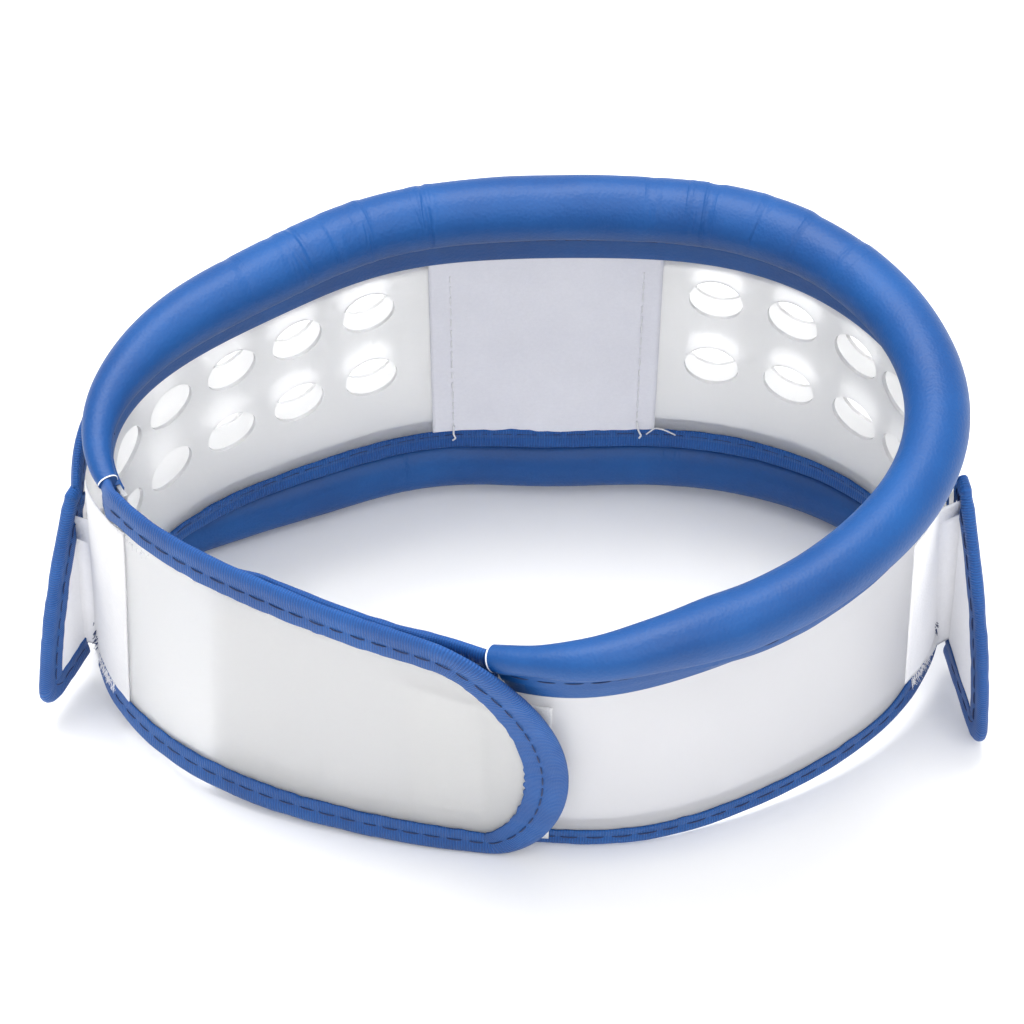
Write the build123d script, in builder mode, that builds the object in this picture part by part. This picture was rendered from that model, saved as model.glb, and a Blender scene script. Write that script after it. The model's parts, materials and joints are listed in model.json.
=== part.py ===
from build123d import *
import os
from math import asin, cos, degrees, pi, radians, sin

# Low Elizabethan collar: a band of frosted sheet closed round the neck, a padded roll along its rim,
# a second sheet behind it whose foot carries another padded roll, and a closure strap in front.
# Lengths are millimetres. Angles are degrees about the ring's centre, anticlockwise from +X.
# "Height" is measured from the band's foot along the band's own axis, which tips forward a little,
# because the roll under the back lifts it. "Offset" is measured outward from the band's sheet.

# Ring outline: from the centre to the sheet at sixteen even steps of angle, at the foot and at the rim
FOOT_RADII = (83.4, 82.1, 68.8, 56.9, 52.2, 56.0, 62.8, 77.4, 85.6, 73.5, 57.7, 49.8, 48.5, 52.7, 59.0, 70.7)
RIM_RADII = (79.6, 77.7, 69.8, 59.9, 55.6, 57.5, 62.5, 73.7, 84.2, 70.1, 57.0, 52.8, 56.6, 59.2, 63.4, 72.0)
RIM_HEIGHT = 74.0

# Sheet, binding and fabric
SHEET = 0.8
CLEARANCE = 0.05
TAPE = 0.5
TAPE_LAP = 8.0
INNER_TAPE_LAP = 5.5
SHEET_FACE = SHEET / 2 + CLEARANCE
TAPE_FACE = SHEET_FACE + TAPE
FABRIC = 0.6
THREAD = 0.45

# Spacing in degrees of the points along an outline, and of the circles along a roll
SPLINE_STEP = 5
CIRCLE_STEP = 9

# Padded rolls
ROLL_RADIUS = 6.5
ROLL_END_RADIUS = 2.7
LEATHER = 0.8
CORE_CLEARANCE = 0.15
ROLL_TAPER = 36.0
TOP_ROLL_START = -98.0
TOP_ROLL_END = 188.0
SHEET_TOP = RIM_HEIGHT - ROLL_RADIUS - 0.2
FLANGE_FOOT = 60.0
FLANGE_FACE = SHEET_FACE + 0.7
FLANGE_ROOT = 0.55
LOWER_ROLL_START = 4.5
LOWER_ROLL_END = 172.0
LOWER_ROLL_HEIGHT = -7.0
LOWER_ROLL_TAPER = 24.0

# Panels of the band
LEFT_PANEL = (92.0, 189.0)
RIGHT_PANEL = (-9.0, 88.0)
FRONT_PANEL = (-154.0, -10.0)
BACK_FABRIC = (63.5, 112.0)
BACK_SEAMS = (67.0, 107.5)
LEFT_FOLD = (181.5, 190.5)
RIGHT_FOLD = (-11.5, -2.0)
FOLD_HEIGHTS = (TAPE_LAP + 0.6, FLANGE_FOOT - 0.6)
HOLE_RADIUS = 5.7
HOLE_HEIGHTS = (27.5, 48.5)
LEFT_HOLES = (124.5, 139.0, 151.0, 161.5, 171.0)
RIGHT_HOLES = (54.0, 41.0, 29.5, 20.0, 11.5)
HOLE_CUT = 6.0
BOTTOM_TAPE = (-154.6, 190.0)
INNER_END_TAPE = (-154.6, -100.0)

# Second sheet, behind the band, from one wing to the other
OUTER_SPAN = (2.0, 179.5)
OUTER_OFFSET = 2.7
OUTER_LEFT_OFFSET = 6.6
OUTER_RIGHT_OFFSET = 3.0
OUTER_FOOT = LOWER_ROLL_HEIGHT + ROLL_RADIUS + 0.1
LOWER_FLANGE_TOP = OUTER_FOOT + 7.0
OUTER_TOP = 64.0
OUTER_HOLE_LIFT = 3.0
SLOPE_START = 26.0

# Closure strap, hooked over the front panel
STRAP_ROOT = 191.5
STRAP_OFFSET = 4.0
STRAP_LIMIT = 285.0
TAB_TIP = 6.6
TAB_TURN_HEIGHT = 32.0
TAB_UPPER = 26.0
TAB_LOWER = 16.0
PATCH_SPAN = (-117.0, -86.5)
PATCH_HEIGHTS = (9.0, 58.8)
PATCH_FACE = SHEET_FACE + 0.9
HOOK_SPAN = (243.0, 260.0)
HOOK_HEIGHTS = (14.0, 56.0)
HOOK_FACE = SHEET_FACE + 0.8

# Wings: the free ends of the second sheet, whose upper edges slope down to low rounded tips
WING_LAP = 6.5
WING_TOP = 52.0
WING_TIP_RADIUS = 7.0
WINGS = {
    "left": {"root": 180.5, "offset": 7.2, "bearing": 244.0, "reach": 17.2, "foot": -1.0, "bow": 2.5},
    "right": {"root": 0.7, "offset": 3.4, "bearing": 282.0, "reach": 25.6, "foot": -4.0, "bow": 5.3},
}

# Solids that cut an outline out of the ring reach this far from its middle
SHAPE_REACH = 110.0

# Rest: the band tips forward so that its front foot and the roll under its back touch one level
REST_SPAN = 95.0
LEAN = degrees(asin((ROLL_RADIUS - LOWER_ROLL_HEIGHT) / REST_SPAN))
CENTRE = (4.0, 5.26, 8.04)
BAND = Plane(origin=CENTRE, x_dir=(1, 0, 0), z_dir=(0, -sin(radians(LEAN)), cos(radians(LEAN))))


def radius(angle, radii):
    """Radius of the smooth closed curve through evenly spaced radii."""
    count = len(radii)
    total = 0.0
    for index, value in enumerate(radii):
        turn = radians(angle - 360 * index / count)
        waves = sum(2 * cos(order * turn) for order in range(1, count // 2))
        total += value * (1 + waves + cos(count // 2 * turn)) / count
    return total


def middle(angle, height):
    """Point on the band's sheet, in the band's own frame."""
    rise = height / RIM_HEIGHT
    reach = radius(angle, FOOT_RADII) * (1 - rise) + radius(angle, RIM_RADII) * rise
    return Vector(reach * cos(radians(angle)), reach * sin(radians(angle)), height)


def on_ring(angle, height, offset=0.0):
    """Point at an angle, a height and an offset, with the ring's direction and its outward normal."""
    along = (middle(angle + 0.1, height) - middle(angle - 0.1, height)).normalized()
    outward = along.cross(Vector(0, 0, 1))
    return middle(angle, height) + outward * offset, along, outward


def band_layer(angle):
    return 0.0


def outer_layer(angle):
    """Offset of the second sheet: close behind the band at the back, standing off at its ends."""
    stray = min(1.0, max(0.0, (abs(angle - 90) - 45) / 45))
    end_offset = OUTER_RIGHT_OFFSET if angle < 90 else OUTER_LEFT_OFFSET
    return OUTER_OFFSET + (end_offset - OUTER_OFFSET) * stray * stray * (3 - 2 * stray)


def strap_layer(angle):
    return STRAP_OFFSET


def placed(origin, x_dir, z_dir):
    """Plane given in the band's frame, moved to where the band stands."""
    local = Plane(origin=origin, x_dir=x_dir, z_dir=z_dir)
    return Plane(BAND.location * local.location)


def arc_points(start, end, height, layer, offset):
    """Points along the ring from one angle to another, about SPLINE_STEP degrees apart."""
    count = max(3, round(abs(end - start) / SPLINE_STEP) + 1)
    angles = [start + (end - start) * step / (count - 1) for step in range(count)]
    points = [on_ring(angle, height, layer(angle) + offset)[0] for angle in angles]
    return [(point.X, point.Y) for point in points]


def even_spline(points):
    """Smooth curve whose parameter runs evenly with angle, so that lofts between heights don't twist."""
    steps = [step / (len(points) - 1) for step in range(len(points))]
    return Edge.make_spline([Vector(x, y) for x, y in points], parameters=steps)


def wall(start, end, low, high, inner, outer, layer=band_layer):
    """Upright slab that follows the ring between two angles, two heights and two offsets."""
    with BuildPart() as slab:
        for height in (low, high):
            with BuildSketch(BAND.offset(height)):
                with BuildLine():
                    front = even_spline(arc_points(start, end, height, layer, outer))
                    back = even_spline(arc_points(end, start, height, layer, inner))
                    add(front)
                    add(back)
                    Line(front @ 1, back @ 0)
                    Line(back @ 1, front @ 0)
                make_face()
        loft(ruled=True)
    return slab.part


def edge_tape(start, end, edge, side, layer=band_layer, inner_lap=TAPE_LAP, outer_lap=TAPE_LAP):
    """Binding folded over a sheet's edge; side is 1 where its laps reach up, -1 where they reach down."""
    fold = edge - side * (CLEARANCE + TAPE)
    reach = edge + side * outer_lap
    beyond = reach + side
    with BuildPart() as tape:
        add(wall(start, end, min(fold, reach), max(fold, reach), -TAPE_FACE, TAPE_FACE, layer))
        floor = edge - side * CLEARANCE
        low, high = min(floor, beyond), max(floor, beyond)
        slot = wall(start - 1, end + 1, low, high, -SHEET_FACE, SHEET_FACE, layer)
        add(slot, mode=Mode.SUBTRACT)
        if inner_lap < outer_lap:
            trim = edge + side * inner_lap
            low, high = min(trim, beyond), max(trim, beyond)
            add(wall(start - 1, end + 1, low, high, -2 * TAPE_FACE, 0, layer), mode=Mode.SUBTRACT)
    return tape.part


def hole_planes(angles, lift, layer, offset):
    """A plane facing outward at each ventilation hole."""
    planes = []
    for angle in angles:
        for height in HOLE_HEIGHTS:
            point, along, outward = on_ring(angle, height + lift, layer(angle) + offset)
            planes.append(placed(point, along, outward))
    return planes


def roll(start, end, shape_radius, centre_height, layer=band_layer, taper=ROLL_TAPER, shrink=0, margin=0):
    """Tube lofted round the ring through circles that get smaller towards both ends."""
    first, last = start - margin, end + margin
    count = round((last - first) / CIRCLE_STEP) + 1
    with BuildPart() as tube:
        for step in range(count):
            angle = first + (last - first) * step / (count - 1)
            size = shape_radius(angle, start, end, taper)
            point, along, outward = on_ring(angle, centre_height(size), layer(angle))
            with BuildSketch(placed(point, outward, along)):
                Circle(size - shrink)
        loft()
    return tube.part


def tapered(angle, start, end, taper):
    """Roll radius at an angle: full in the middle, easing down to its flattened ends."""
    near_end = max(0.0, min(1.0, min(angle - start, end - angle) / taper))
    ease = sin(pi / 2 * near_end)
    return ROLL_END_RADIUS + (ROLL_RADIUS - ROLL_END_RADIUS) * ease


def on_rim(size):
    return RIM_HEIGHT - ROLL_RADIUS + size


def under_foot(size):
    return LOWER_ROLL_HEIGHT + ROLL_RADIUS - size


def tab_face(tip, turn, upper, lower, top, foot, grow):
    """Outline of a strap's end, grown outward: a long upper curve and a tight lower curve."""
    root = tip - 2 * SHAPE_REACH
    with BuildSketch() as face:
        with BuildLine():
            upper_centre = (tip - upper, turn)
            lower_centre = (tip - lower, turn)
            high = EllipticalCenterArc(upper_centre, upper + grow, top - turn + grow, 0, arc_size=90)
            low = EllipticalCenterArc(lower_centre, lower + grow, turn - foot + grow, 270, arc_size=90)
            Polyline(high @ 1, (root, top + grow), (root, foot - grow), low @ 0)
        make_face()
    return face.sketch


def export(part, name):
    part.label = name
    export_step(part, f"parts/{name}.step")


def stitch_boxes(frames, length):
    """One short raised bar of thread for each frame."""
    with BuildPart() as thread:
        with BuildSketch(*frames):
            SlotOverall(length, THREAD)
        extrude(amount=THREAD / 2)
    return thread.part


os.makedirs("parts", exist_ok=True)

# Band panels
with BuildPart() as left_panel:
    add(wall(*LEFT_PANEL, 0, SHEET_TOP, -SHEET / 2, SHEET / 2))
    with BuildSketch(*hole_planes(LEFT_HOLES, 0, band_layer, -HOLE_CUT / 2)):
        Circle(HOLE_RADIUS)
    extrude(amount=HOLE_CUT, mode=Mode.SUBTRACT)
export(left_panel.part, "left_panel")

with BuildPart() as right_panel:
    add(wall(*RIGHT_PANEL, 0, SHEET_TOP, -SHEET / 2, SHEET / 2))
    with BuildSketch(*hole_planes(RIGHT_HOLES, 0, band_layer, -HOLE_CUT / 2)):
        Circle(HOLE_RADIUS)
    extrude(amount=HOLE_CUT, mode=Mode.SUBTRACT)
export(right_panel.part, "right_panel")

with BuildPart() as front_panel:
    add(wall(*FRONT_PANEL, 0, SHEET_TOP, -SHEET / 2, SHEET / 2))
export(front_panel.part, "front_panel")

# Fabric over the back join, sewn down both sides, and over the two side folds
with BuildPart() as back_fabric_panel:
    face = -SHEET_FACE
    add(wall(*BACK_FABRIC, INNER_TAPE_LAP + 0.4, FLANGE_FOOT - 0.3, face - FABRIC, face))
export(back_fabric_panel.part, "back_fabric_panel")

BACK_STITCH_PITCH = 3.4
BACK_STITCH_LENGTH = 2.4
BACK_STITCH_HEIGHTS = (9.0, 56.0)
seam_frames = []
for seam in BACK_SEAMS:
    height = BACK_STITCH_HEIGHTS[0]
    while height < BACK_STITCH_HEIGHTS[1]:
        point, along, outward = on_ring(seam, height, -SHEET_FACE - FABRIC - CLEARANCE)
        seam_frames.append(placed(point, Vector(0, 0, 1), -outward))
        height += BACK_STITCH_PITCH
export(stitch_boxes(seam_frames, BACK_STITCH_LENGTH), "back_fabric_thread")

with BuildPart() as right_fold_fabric:
    add(wall(*RIGHT_FOLD, *FOLD_HEIGHTS, SHEET_FACE, SHEET_FACE + FABRIC))
export(right_fold_fabric.part, "right_fold_fabric")

with BuildPart() as left_fold_fabric:
    add(wall(*LEFT_FOLD, *FOLD_HEIGHTS, STRAP_OFFSET, STRAP_OFFSET + FABRIC))
export(left_fold_fabric.part, "left_fold_fabric")

# Bindings of the band
export(edge_tape(*BOTTOM_TAPE, 0, 1, inner_lap=INNER_TAPE_LAP), "bottom_tape")
export(edge_tape(*INNER_END_TAPE, SHEET_TOP, -1), "inner_end_tape")

# Padded roll along the rim: foam core in a leatherette cover whose two flanges hold the sheet
with BuildPart() as top_roll_core:
    add(roll(TOP_ROLL_START, TOP_ROLL_END, tapered, on_rim, shrink=LEATHER + CORE_CLEARANCE))
export(top_roll_core.part, "top_roll_core")

with BuildPart() as top_roll_cover:
    add(roll(TOP_ROLL_START, TOP_ROLL_END, tapered, on_rim))
    cavity = roll(TOP_ROLL_START, TOP_ROLL_END, tapered, on_rim, shrink=LEATHER, margin=1)
    add(cavity, mode=Mode.SUBTRACT)
    flange = (TOP_ROLL_START + 1, TOP_ROLL_END - 1, FLANGE_FOOT, SHEET_TOP + FLANGE_ROOT)
    add(wall(*flange, SHEET_FACE, FLANGE_FACE))
    add(wall(*flange, -FLANGE_FACE, -SHEET_FACE))
export(top_roll_cover.part, "top_roll_cover")

# Second sheet with its own holes, top binding and padded roll under its back
SIDE_VIEW = Plane(BAND.location * Plane.YZ.location)


def outer_prism(grow):
    """Solid across the ring with the second sheet's outline, seen along X; its top slopes to the wings."""
    with BuildPart() as prism:
        with BuildSketch(SIDE_VIEW):
            with BuildLine():
                slope = TangentArc((SLOPE_START, OUTER_TOP), (0, WING_TOP), tangent=(-1, 0))
                beyond = slope @ 1 + (slope % 1) * SLOPE_START
                Line(slope @ 1, beyond)
                Polyline(beyond, (beyond.X, -SHAPE_REACH), (SHAPE_REACH, -SHAPE_REACH))
                Polyline((SHAPE_REACH, -SHAPE_REACH), (SHAPE_REACH, OUTER_TOP), slope @ 0)
            make_face()
            if grow:
                offset(amount=grow)
        extrude(amount=SHAPE_REACH, both=True)
    return prism.part


with BuildPart() as outer_panel:
    add(wall(*OUTER_SPAN, OUTER_FOOT, OUTER_TOP, -SHEET / 2, SHEET / 2, outer_layer))
    add(outer_prism(0), mode=Mode.INTERSECT)
    outer_holes = LEFT_HOLES[:-1] + RIGHT_HOLES[:-1]
    with BuildSketch(*hole_planes(outer_holes, OUTER_HOLE_LIFT, outer_layer, -HOLE_CUT / 2)):
        Circle(HOLE_RADIUS)
    extrude(amount=HOLE_CUT, mode=Mode.SUBTRACT)
export(outer_panel.part, "outer_panel")

with BuildPart() as outer_pocket:
    pocket_span = (OUTER_SPAN[0] - 1, OUTER_SPAN[1] + 1)
    add(wall(*pocket_span, WING_TOP / 2, OUTER_TOP + 2, -SHEET_FACE, SHEET_FACE, outer_layer))
    add(outer_prism(CLEARANCE), mode=Mode.INTERSECT)

with BuildPart() as outer_top_tape:
    add(wall(*OUTER_SPAN, WING_TOP / 2, OUTER_TOP + 2, -TAPE_FACE, TAPE_FACE, outer_layer))
    add(outer_prism(CLEARANCE + TAPE), mode=Mode.INTERSECT)
    add(outer_pocket.part, mode=Mode.SUBTRACT)
    add(outer_prism(-TAPE_LAP), mode=Mode.SUBTRACT)
export(outer_top_tape.part, "outer_top_tape")

with BuildPart() as lower_roll_core:
    lower = (LOWER_ROLL_START, LOWER_ROLL_END, tapered, under_foot, outer_layer, LOWER_ROLL_TAPER)
    add(roll(*lower, shrink=LEATHER + CORE_CLEARANCE))
export(lower_roll_core.part, "lower_roll_core")

with BuildPart() as lower_roll_cover:
    add(roll(*lower))
    add(roll(*lower, shrink=LEATHER, margin=1), mode=Mode.SUBTRACT)
    lower_flange = (LOWER_ROLL_START + 1, LOWER_ROLL_END - 1, OUTER_FOOT - FLANGE_ROOT, LOWER_FLANGE_TOP)
    add(wall(*lower_flange, SHEET_FACE, FLANGE_FACE, outer_layer))
export(lower_roll_cover.part, "lower_roll_cover")

# Closure strap with its binding, and the hook and loop patches that hold it
FRONT_VIEW = Plane(BAND.location * Plane.XZ.location)
STRAP_END = (TAB_TIP, TAB_TURN_HEIGHT, TAB_UPPER, TAB_LOWER, RIM_HEIGHT, 0)
STRAP_SPAN = (STRAP_ROOT, STRAP_LIMIT)


def strap_prism(grow):
    """Solid through the front of the ring with the strap's outline, seen along Y."""
    with BuildPart() as prism:
        with BuildSketch(FRONT_VIEW):
            add(tab_face(*STRAP_END, grow))
        extrude(amount=SHAPE_REACH)
    return prism.part


with BuildPart() as strap_panel:
    add(wall(*STRAP_SPAN, -2, RIM_HEIGHT + 2, -SHEET / 2, SHEET / 2, strap_layer))
    add(strap_prism(0), mode=Mode.INTERSECT)
export(strap_panel.part, "strap_panel")

with BuildPart() as strap_pocket:
    add(wall(STRAP_ROOT - 1, STRAP_LIMIT, -3, RIM_HEIGHT + 3, -SHEET_FACE, SHEET_FACE, strap_layer))
    add(strap_prism(CLEARANCE), mode=Mode.INTERSECT)

with BuildPart() as strap_tape:
    add(wall(*STRAP_SPAN, -3, RIM_HEIGHT + 3, -TAPE_FACE, TAPE_FACE, strap_layer))
    add(strap_prism(CLEARANCE + TAPE), mode=Mode.INTERSECT)
    add(strap_pocket.part, mode=Mode.SUBTRACT)
    add(strap_prism(-TAPE_LAP), mode=Mode.SUBTRACT)
export(strap_tape.part, "strap_tape")


with BuildPart() as loop_patch:
    add(wall(*PATCH_SPAN, *PATCH_HEIGHTS, SHEET_FACE, PATCH_FACE))
export(loop_patch.part, "loop_patch")

with BuildPart() as hook_patch:
    add(wall(*HOOK_SPAN, *HOOK_HEIGHTS, -HOOK_FACE, -SHEET_FACE, strap_layer))
export(hook_patch.part, "hook_patch")

# Wings: each folds about an upright line at its root
WING_BACK = 20.0


def wing_slab(plane, wing, grow, thickness):
    """Flat slab with a wing's outline, grown outward everywhere but at its root."""
    tip_turn = wing["foot"] + WING_TIP_RADIUS
    with BuildPart() as slab:
        with BuildSketch(plane):
            with BuildLine():
                edge = SagittaArc((0, WING_TOP), (wing["reach"], tip_turn), wing["bow"])
                tip = TangentArc(edge @ 1, (wing["reach"] - WING_TIP_RADIUS, wing["foot"]), tangent=(0, -1))
                behind = edge @ 0 - (edge % 0) * WING_BACK
                Line(edge @ 0, behind)
                Polyline(behind, (behind.X, wing["foot"]), tip @ 1)
            make_face()
            if grow:
                offset(amount=grow)
            with Locations((WING_BACK * 3, 0)):
                Rectangle(WING_BACK * 6, WING_TOP * 3, mode=Mode.INTERSECT)
        extrude(amount=thickness / 2, both=True)
    return slab.part


for side, wing in WINGS.items():
    root, along, outward = on_ring(wing["root"], 0, wing["offset"])
    bearing = radians(wing["bearing"])
    reach_dir = Vector(cos(bearing), sin(bearing), 0)
    wing_plane = placed(root, reach_dir, reach_dir.cross(Vector(0, 0, 1)))
    export(wing_slab(wing_plane, wing, 0, SHEET), f"{side}_wing_panel")

    with BuildPart() as wing_tape:
        add(wing_slab(wing_plane, wing, CLEARANCE + TAPE, 2 * TAPE_FACE))
        add(wing_slab(wing_plane, wing, CLEARANCE, 2 * SHEET_FACE), mode=Mode.SUBTRACT)
        add(wing_slab(wing_plane, wing, -WING_LAP, 4 * TAPE_FACE), mode=Mode.SUBTRACT)
    export(wing_tape.part, f"{side}_wing_tape")
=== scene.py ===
"""Looks for a low Elizabethan collar: frosted sheet, padded rolls, ribbed bindings, stitches and fabric."""

import json
import math
import random

import bpy
import numpy as np
from mathutils import Matrix, Vector
from mathutils.bvhtree import BVHTree

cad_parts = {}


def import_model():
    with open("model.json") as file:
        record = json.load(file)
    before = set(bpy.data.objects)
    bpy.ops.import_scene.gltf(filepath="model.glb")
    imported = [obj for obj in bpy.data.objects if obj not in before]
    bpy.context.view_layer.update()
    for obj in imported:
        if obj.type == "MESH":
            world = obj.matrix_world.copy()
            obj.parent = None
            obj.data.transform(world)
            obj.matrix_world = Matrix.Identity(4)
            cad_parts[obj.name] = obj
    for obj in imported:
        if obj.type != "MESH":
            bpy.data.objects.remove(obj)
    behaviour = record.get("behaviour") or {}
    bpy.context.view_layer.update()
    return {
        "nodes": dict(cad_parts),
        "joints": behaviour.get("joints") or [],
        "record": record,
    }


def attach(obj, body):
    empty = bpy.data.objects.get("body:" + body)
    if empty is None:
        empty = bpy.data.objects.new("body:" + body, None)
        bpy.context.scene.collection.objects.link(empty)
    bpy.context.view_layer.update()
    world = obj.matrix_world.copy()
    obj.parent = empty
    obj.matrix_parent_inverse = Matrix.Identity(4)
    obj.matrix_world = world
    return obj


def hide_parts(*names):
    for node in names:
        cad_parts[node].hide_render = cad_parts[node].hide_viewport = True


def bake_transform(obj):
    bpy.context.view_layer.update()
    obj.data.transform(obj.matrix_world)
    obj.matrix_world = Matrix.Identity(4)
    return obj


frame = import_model()
nodes = frame["nodes"]

MM = 0.001

# The band's own frame: the centre of its foot, and its axis, which the wings' hinges share
AXIS = Vector(next(j["axis"] for j in frame["joints"] if j["name"] == "right_wing_fold"))
CENTRE = Vector((4.0, 5.26, 8.04)) * MM
ACROSS = Vector((1, 0, 0))
BAND = Matrix((ACROSS, AXIS.cross(ACROSS), AXIS)).transposed().to_4x4()
BAND.translation = CENTRE
TO_BAND = BAND.inverted()
TURN = np.array(BAND.to_3x3())
UPWARD = np.array([0, 0, 1.0])

# Layers, heights and spans round the ring, as the CAD has them; angles are in degrees from the ring's right
SHEET_TOP = 67.3 * MM
SHEET_FACE = 0.45 * MM
TAPE = 0.5 * MM
TAPE_LAP = 8.0 * MM
INNER_TAPE_LAP = 5.5 * MM
ROLL_RADIUS = 6.5 * MM
ROLL_END_RADIUS = 2.7 * MM
RIM_HEIGHT = 74.0 * MM
LOWER_ROLL_HEIGHT = -7.0 * MM
TOP_ROLL = (-98.0, 187.0, 36.0)
LOWER_ROLL = (4.5, 172.0, 24.0)
FLANGE_FOOT = 60.0 * MM
FLANGE_FACE = 1.15 * MM
OUTER_SPAN = (2.0, 179.5)
OUTER_OFFSET = 2.7 * MM
OUTER_LEFT_OFFSET = 6.6 * MM
OUTER_RIGHT_OFFSET = 3.0 * MM
OUTER_FOOT = -0.4 * MM
OUTER_TOP = 64.0 * MM
SLOPE_START = 26.0 * MM
STRAP_ROOT = 191.5
STRAP_OFFSET = 4.0 * MM
WING_TOP = 52.0 * MM
WING_TIP_RADIUS = 7.0 * MM
WING_LAP = 6.5 * MM
# Wings: root and bearing in degrees, other sizes in mm; seen is the face turned to the front
WINGS = {
    "left": {"root": 180.5, "offset": 7.2, "bearing": 244.0, "reach": 17.2, "foot": -1.0, "bow": 2.5,
             "seen": -1},
    "right": {"root": 0.7, "offset": 3.4, "bearing": 282.0, "reach": 25.6, "foot": -4.0, "bow": 5.3,
              "seen": 1},
}
BACK_SEAMS = (67.0, 107.5)
BACK_FABRIC = (63.5, 112.0)


# ---- ring
def sheet_tree(name):
    """A CAD sheet's faces in the band's frame, ready for rays."""
    mesh = nodes[name].data
    points = [TO_BAND @ v.co for v in mesh.vertices]
    return BVHTree.FromPolygons(points, [p.vertices[:] for p in mesh.polygons])


SHEETS = [sheet_tree(n) for n in ("left_panel", "right_panel", "front_panel")]


def waves(angles):
    """Values of the ring's seventeen waves at these angles, in degrees."""
    turn = np.radians(np.asarray(angles, float))[..., None] * np.arange(1, 9)
    return np.concatenate([np.ones(turn.shape[:-1] + (1,)), np.cos(turn), np.sin(turn[..., :7])], -1)


def fit_outline(height):
    """The waves' weights for the sheet's outline at a height, read from the CAD sheets by rays."""
    angles, reaches = [], []
    for angle in range(360):
        way = Vector((math.cos(math.radians(angle)), math.sin(math.radians(angle)), 0))
        for tree in SHEETS:
            near = tree.ray_cast(Vector((0, 0, height)), way)[0]
            if near is None:
                continue
            far = tree.ray_cast(near + way * 0.0002, way)[0]
            if far is not None and (far - near).length < 0.003:
                angles.append(angle)
                reaches.append(((near + far) / 2).xy.length)
    return np.linalg.lstsq(waves(angles), np.array(reaches), rcond=None)[0]


LOW = 10 * MM
HIGH = 58 * MM
OUTLINE = fit_outline(LOW)
OUTLINE_RATE = (fit_outline(HIGH) - OUTLINE) / (HIGH - LOW)


def middle(angle, height):
    """Points in the middle of the band's sheet, in the band's frame."""
    base = waves(angle)
    reach = base @ OUTLINE + (base @ OUTLINE_RATE) * (height - LOW)
    turn = np.radians(angle)
    return np.stack([reach * np.cos(turn), reach * np.sin(turn), height + 0 * reach], -1)


def ring(angle, height, offset):
    """Points beside the band's sheet in the band's frame, with the ring's direction and outward normal."""
    angle, height, offset = np.broadcast_arrays(*(np.asarray(v, float) for v in (angle, height, offset)))
    along = unit(middle(angle + 0.1, height) - middle(angle - 0.1, height))
    outward = np.stack([along[..., 1], -along[..., 0], 0 * along[..., 0]], -1)
    return middle(angle, height) + outward * offset[..., None], along, outward


def world(points):
    """Points of the band's frame in the row frame."""
    return points @ TURN.T + np.array(CENTRE)


def ring_world(angle, height, offset):
    return world(ring(angle, height, offset)[0])


def unit(vectors):
    return vectors / np.linalg.norm(vectors, axis=-1, keepdims=True)


def smooth(t):
    """Ease from 0 to 1, level at both ends."""
    t = np.clip(t, 0, 1)
    return t * t * (3 - 2 * t)


def outer_offset(angle):
    """How far the second sheet stands off the band, which widens towards both of its ends."""
    angle = np.asarray(angle, float)
    end = np.where(angle < 90, OUTER_RIGHT_OFFSET, OUTER_LEFT_OFFSET)
    return OUTER_OFFSET + (end - OUTER_OFFSET) * smooth((np.abs(angle - 90) - 45) / 45)


def wander(count, step, size, seed):
    """Smooth random line: count values, with a new one about every step."""
    draw = np.random.default_rng(seed)
    knots = draw.normal(size=max(4, int(count / step) + 3))
    spots = np.linspace(0, len(knots) - 1.001, count)
    low = spots.astype(int)
    part = smooth(spots - low)
    return size * (knots[low] * (1 - part) + knots[low + 1] * part)


# ---- mesh
SHARP_ANGLE = math.radians(50)


def new_mesh(name, points, faces, uvs=None):
    mesh = bpy.data.meshes.new(name)
    mesh.from_pydata([tuple(p) for p in points], [], faces)
    if uvs is not None:
        layer = mesh.uv_layers.new(name="UVMap")
        order = np.zeros(len(mesh.loops), int)
        mesh.loops.foreach_get("vertex_index", order)
        layer.data.foreach_set("uv", np.asarray(uvs, np.float32)[order].ravel())
    mesh.update()
    mesh.validate()
    mesh.shade_smooth()
    obj = bpy.data.objects.new(name, mesh)
    bpy.context.scene.collection.objects.link(obj)
    return obj


def round_section(line, size, side, up, sides, squash=1.0):
    """Rings of points round a line, (stations, sides, 3)."""
    turns = np.linspace(0, 2 * np.pi, sides + 1)[:-1]
    return line[:, None] + size * (np.cos(turns)[None, :, None] * side[:, None]
                                   + squash * np.sin(turns)[None, :, None] * up[:, None])


def tube_faces(stations, around, start=0):
    """Faces between the rings of a tube whose first vertex is number start."""
    faces = []
    for i in range(stations - 1):
        for j in range(around):
            a, b = start + i * around + j, start + i * around + (j + 1) % around
            faces.append((a, b, b + around, a + around))
    return faces


def lengths(points):
    """Length along a line of points, at each of them."""
    steps = np.linalg.norm(np.diff(points, axis=0), axis=-1)
    return np.concatenate([[0], np.cumsum(steps)])


def spaced(path, count):
    """The same flat line with count points at even steps."""
    run = lengths(path)
    even = np.linspace(0, run[-1], count)
    return np.stack([np.interp(even, run, path[:, k]) for k in (0, 1)], -1)


def end_caps(stations, around, start=0):
    """The two faces that close the ends of a tube."""
    last = start + (stations - 1) * around
    return [tuple(range(start, start + around))[::-1], tuple(range(last, last + around))]


def swept(name, grid):
    """Closed profile swept along stations: grid is (stations, around, 3) in the row frame."""
    stations, around = grid.shape[:2]
    faces = tube_faces(stations, around) + end_caps(stations, around)
    along = lengths(grid.mean(1))
    across = lengths(grid[stations // 2])
    uvs = np.stack(np.meshgrid(along, across, indexing="ij"), -1).reshape(-1, 2)
    obj = new_mesh(name, grid.reshape(-1, 3), faces, uvs)
    obj.data.set_sharp_from_angle(angle=SHARP_ANGLE)
    return obj


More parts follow.
